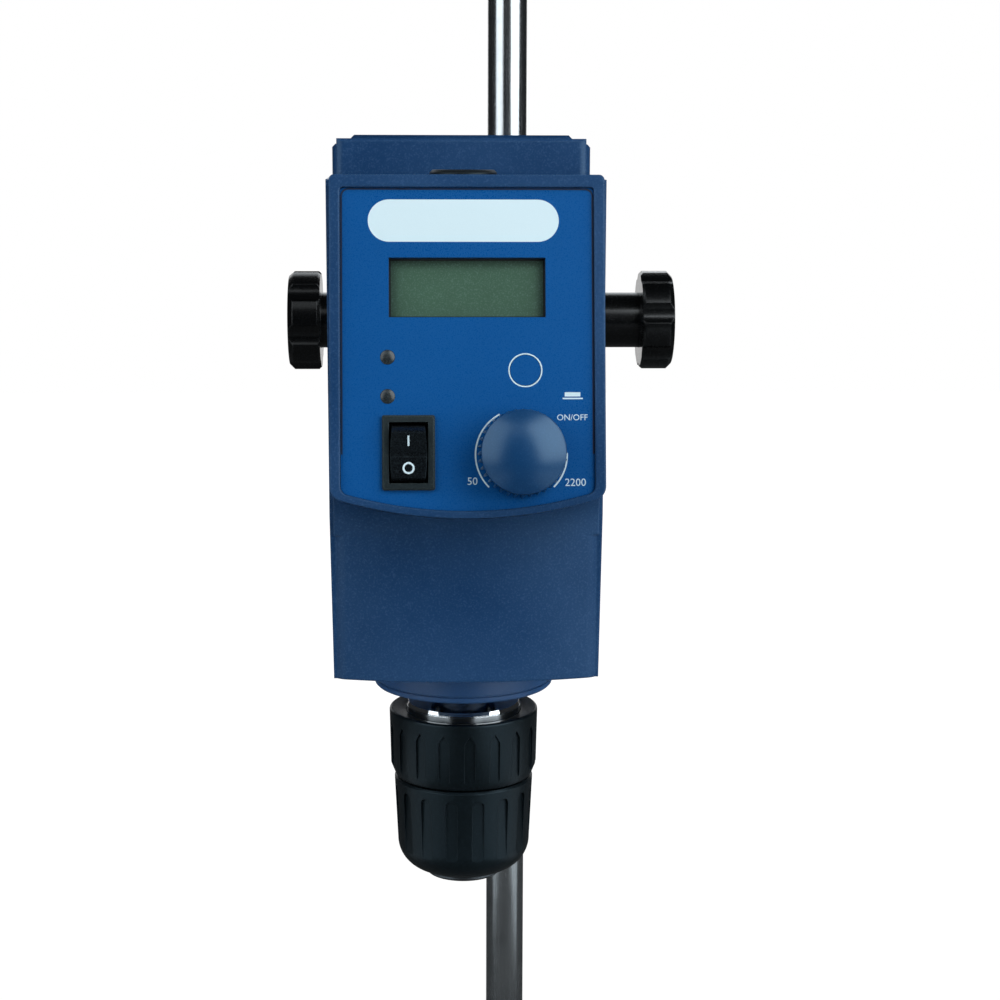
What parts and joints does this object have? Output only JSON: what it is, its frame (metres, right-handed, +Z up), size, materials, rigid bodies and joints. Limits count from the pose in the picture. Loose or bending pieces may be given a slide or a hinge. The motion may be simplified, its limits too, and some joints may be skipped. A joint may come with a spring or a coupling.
{
  "type": "overhead stirrer",
  "caption": "Overhead laboratory stirrer: motor head with display, rocker switch and push-turn knob, keyless chuck on a hollow spindle, held by a double clamp on a stand rod",
  "frame": {"origin": "the mouth of the chuck, on the spindle axis in the plane of the nose ring", "axes": "+Z up along the spindle and the stand rod, -Y out of the front panel, +X to the right as seen from the front"},
  "size_m": [0.1574, 0.333, 0.618],
  "materials": {
    "stainless_rod": "satin",
    "zinc_steel": "satin",
    "clamp_black": "satin",
    "knob_black": "gloss",
    "housing_blue": "satin",
    "panel_blue": "satin",
    "window": "gloss",
    "lcd": "satin",
    "board_green": "satin",
    "lamp_grey": "gloss",
    "switch_black": "satin",
    "encoder_metal": "satin",
    "knob_blue": "satin",
    "cast_flange": "satin",
    "bearing_steel": "polished",
    "turned_aluminium": "satin",
    "motor_steel": "satin",
    "lamination": "matte",
    "belt_rubber": "matte",
    "inlet_black": "matte",
    "chuck_steel": "satin",
    "chrome_dish": "polished",
    "sleeve_black": "satin",
    "jaw_steel": "satin"
  },
  "bodies": {
    "stand": {"stand_rod": "stainless_rod"},
    "clamp": {"clamp_body": "clamp_black"},
    "left_knob": {"left_clamp_knob": "knob_black", "left_clamp_screw": "zinc_steel"},
    "right_knob": {"right_clamp_knob": "knob_black", "right_clamp_screw": "zinc_steel"},
    "head": {"support_arm": "stainless_rod", "arm_nut": "zinc_steel", "front_housing": "housing_blue", "rear_housing": "housing_blue", "housing_screws": "zinc_steel", "panel_overlay": "panel_blue", "display_glass": "window", "display_module": "lcd", "control_board": "board_green", "board_screws": "zinc_steel", "indicator_lamps": "lamp_grey", "switch_body": "switch_black", "encoder_body": "encoder_metal", "encoder_nut": "zinc_steel", "bearing_flange": "cast_flange", "flange_screws": "zinc_steel", "lower_bearing": "bearing_steel", "upper_bearing": "bearing_steel", "bearing_spacer": "turned_aluminium", "drive_plate": "turned_aluminium", "plate_screws": "zinc_steel", "motor_can": "motor_steel", "motor_stator": "lamination", "drive_belt": "belt_rubber", "power_board": "board_green", "mains_inlet": "inlet_black"},
    "key": {"mode_key": "panel_blue"},
    "rocker": {"switch_rocker": "switch_black"},
    "encoder": {"encoder_rotor": "encoder_metal"},
    "knob": {"encoder_shaft": "stainless_rod", "speed_knob": "knob_blue"},
    "spindle_set": {"spindle": "stainless_rod", "spindle_circlip": "zinc_steel", "spindle_pulley": "turned_aluminium", "chuck_body": "chuck_steel", "chuck_dish": "chrome_dish", "upper_sleeve": "sleeve_black"},
    "motor": {"motor_rotor": "lamination", "motor_pulley": "turned_aluminium"},
    "sleeve": {"lower_sleeve": "sleeve_black", "jaw_nut": "chuck_steel"},
    "jaw_a": {"jaw_1": "jaw_steel"},
    "jaw_b": {"jaw_2": "jaw_steel"},
    "jaw_c": {"jaw_3": "jaw_steel"},
    "cap": {"top_cap": "inlet_black"}
  },
  "joints": [
    {"name": "height_slide", "type": "slide", "parent": "stand", "child": "clamp", "axis": [0, 0, 1], "range_m": [-0.18, 0.225]},
    {"name": "reach_slide", "type": "slide", "parent": "clamp", "child": "head", "axis": [0, 1, 0], "range_m": [-0.02, 0.065]},
    {"name": "left_knob_turn", "type": "hinge", "parent": "clamp", "child": "left_knob", "pos_m": [-0.04, 0.212, 0.16], "axis": [-1, 0, 0], "range_deg": [0, 720]},
    {"name": "right_knob_turn", "type": "hinge", "parent": "clamp", "child": "right_knob", "pos_m": [0.06, 0.212, 0.16], "axis": [1, 0, 0], "range_deg": [0, 720]},
    {"name": "key_press", "type": "slide", "parent": "head", "child": "key", "axis": [0, 0.981, -0.1942], "range_m": [0, 0.0005], "stiffness_N_per_m": 2500},
    {"name": "rocker_tilt", "type": "hinge", "parent": "head", "child": "rocker", "pos_m": [-0.0166, -0.06443, 0.14606], "axis": [-1, 0, 0], "range_deg": [0, 18]},
    {"name": "encoder_turn", "type": "hinge", "parent": "head", "child": "encoder", "pos_m": [0.0151, -0.06735, 0.14623], "axis": [0, -0.981, 0.1942], "continuous": true},
    {"name": "knob_push", "type": "slide", "parent": "encoder", "child": "knob", "axis": [0, 0.981, -0.1942], "range_m": [0, 0.0008], "stiffness_N_per_m": 3000},
    {"name": "spindle_spin", "type": "hinge", "parent": "head", "child": "spindle_set", "pos_m": [0, 0, 0.1], "axis": [0, 0, 1], "continuous": true},
    {"name": "motor_spin", "type": "hinge", "parent": "head", "child": "motor", "pos_m": [0, 0.064, 0.12], "axis": [0, 0, 1], "continuous": true},
    {"name": "sleeve_turn", "type": "hinge", "parent": "spindle_set", "child": "sleeve", "pos_m": [0, 0, 0.02], "axis": [0, 0, 1], "range_deg": [0, 1600]},
    {"name": "jaw_a_slide", "type": "slide", "parent": "spindle_set", "child": "jaw_a", "axis": [0, 0.2588, -0.9659], "range_m": [0, 0.0135]},
    {"name": "jaw_b_slide", "type": "slide", "parent": "spindle_set", "child": "jaw_b", "axis": [-0.2241, -0.1294, -0.9659], "range_m": [0, 0.0135]},
    {"name": "jaw_c_slide", "type": "slide", "parent": "spindle_set", "child": "jaw_c", "axis": [0.2241, -0.1294, -0.9659], "range_m": [0, 0.0135]},
    {"name": "cap_lift", "type": "slide", "parent": "head", "child": "cap", "axis": [0, 0, 1], "range_m": [0, 0.03]}
  ],
  "couplings": [
    {"joint": "motor_spin", "follows": "spindle_spin", "ratio": 2},
    {"joint": "jaw_a_slide", "follows": "sleeve_turn", "m_per_rad": 0.00047746},
    {"joint": "jaw_b_slide", "follows": "sleeve_turn", "m_per_rad": 0.00047746},
    {"joint": "jaw_c_slide", "follows": "sleeve_turn", "m_per_rad": 0.00047746}
  ]
}
